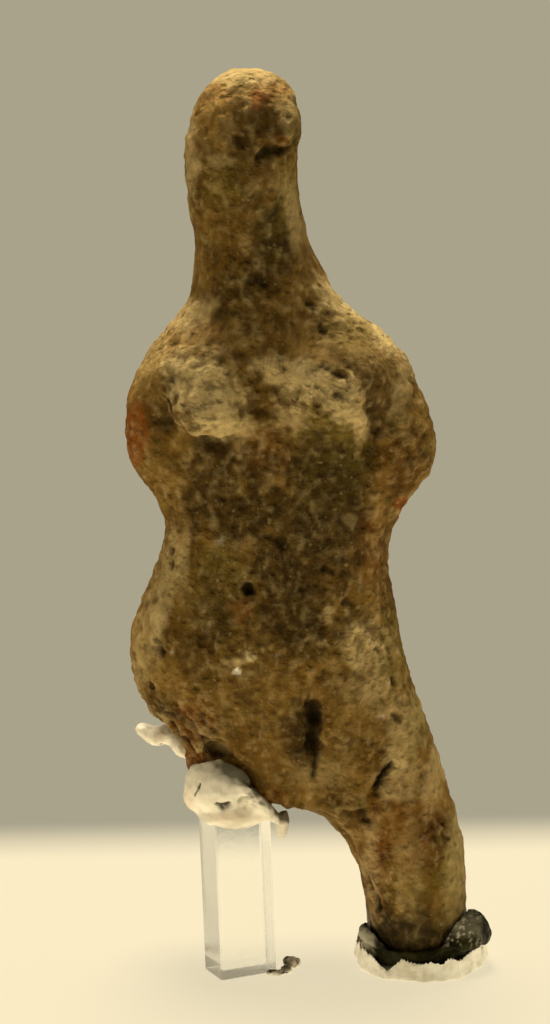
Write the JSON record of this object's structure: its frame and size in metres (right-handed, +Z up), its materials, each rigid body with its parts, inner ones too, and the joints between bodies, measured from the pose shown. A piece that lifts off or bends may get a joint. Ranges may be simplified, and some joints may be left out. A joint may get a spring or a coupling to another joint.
{
  "type": "female figurine",
  "caption": "Hand-modelled clay figurine of a woman with a pillar head, stub arms and a broken hip, held up by a clear post with putty and wax.",
  "frame": {"origin": "middle of the bounding box on the surface it stands on", "axes": "+Z up through the crown, the figure faces -Y, +X to the viewer's right, where her whole leg is"},
  "size_m": [0.043, 0.0234, 0.1085],
  "materials": {
    "fired_clay": "matt, worn, pitted and dirty low-fired clay with pale patches and orange stains",
    "clear_acrylic": "clear polished acrylic with sawn edges",
    "putty": "off-white conservation putty, thumbed smooth, a little grey with dirt",
    "dark_wax": "dark green-black glossy microcrystalline wax",
    "bed_putty": "white putty, torn at the rim"
  },
  "bodies": {
    "root": {"figurine": "fired_clay", "acrylic_post": "clear_acrylic", "hip_putty": "putty", "back_putty": "putty", "foot_wax": "dark_wax", "foot_bed": "bed_putty", "putty_crumb": "putty"}
  },
  "joints": []
}
